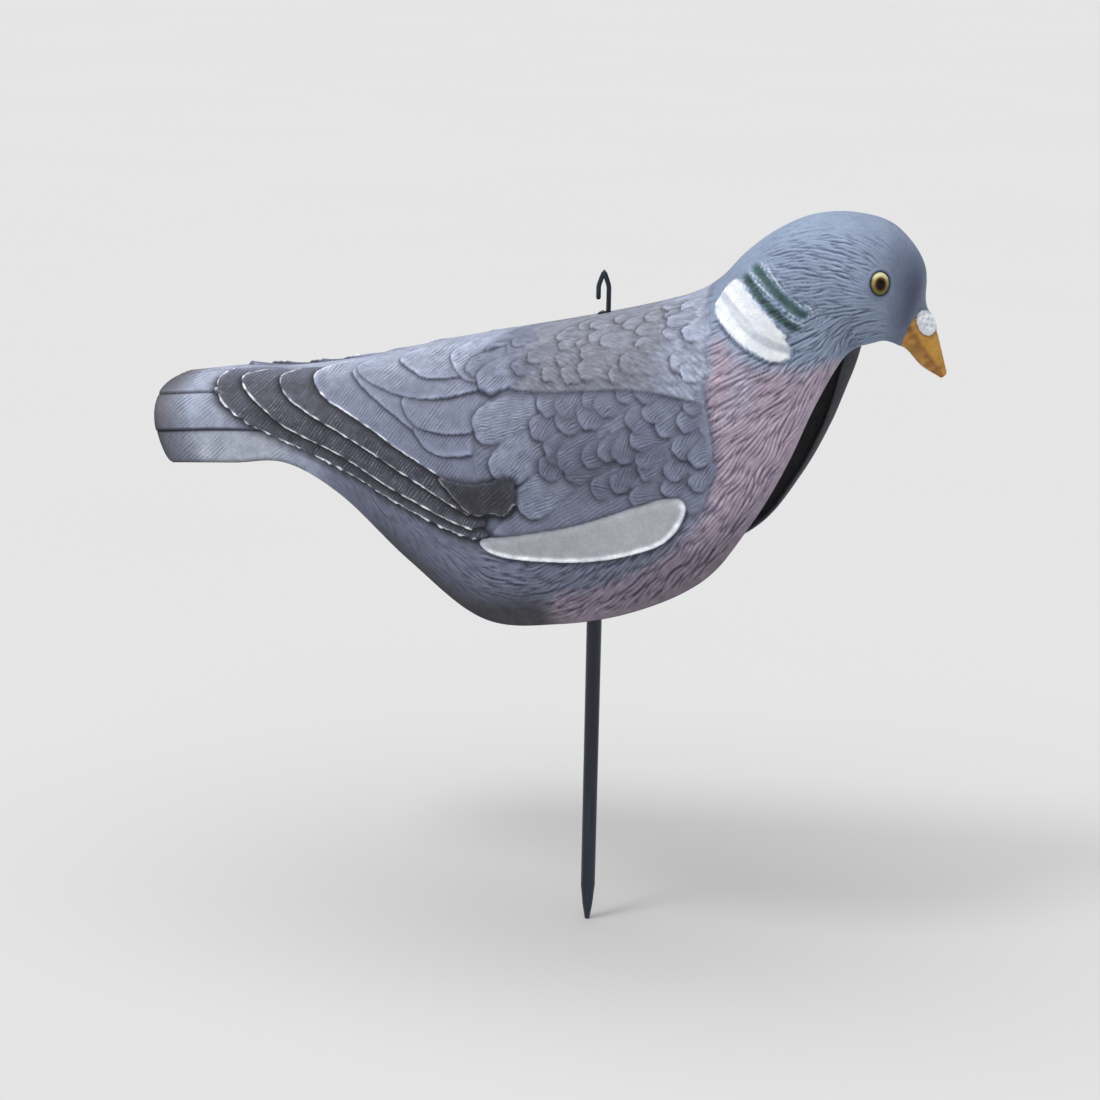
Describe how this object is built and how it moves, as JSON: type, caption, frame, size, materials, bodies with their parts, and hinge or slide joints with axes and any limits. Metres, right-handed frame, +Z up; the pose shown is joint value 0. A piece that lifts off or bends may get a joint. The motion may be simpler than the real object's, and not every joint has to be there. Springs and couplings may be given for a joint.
{
  "type": "pigeon decoy",
  "caption": "Woodpigeon shell decoy with a bowed head and folded wings, open underneath, sitting loose on a moulded ground peg with a barbed hook.",
  "frame": {"origin": "centre of the blunt tip of the peg, the point that is pushed into the ground first", "axes": "+Z up along the peg, +X towards the beak, +Y to the bird's left"},
  "size_m": [0.392, 0.1362, 0.3704],
  "materials": {
    "shell": "matte painted moulding in the greys, blues, pink and white of a woodpigeon",
    "peg": "blue-black moulded plastic with a soft gloss",
    "eye": "glossy olive-yellow iris with a black pupil"
  },
  "bodies": {
    "root": {"decoy_shell": "shell", "peg": "peg", "eye_right": "eye", "eye_left": "eye"}
  },
  "joints": []
}
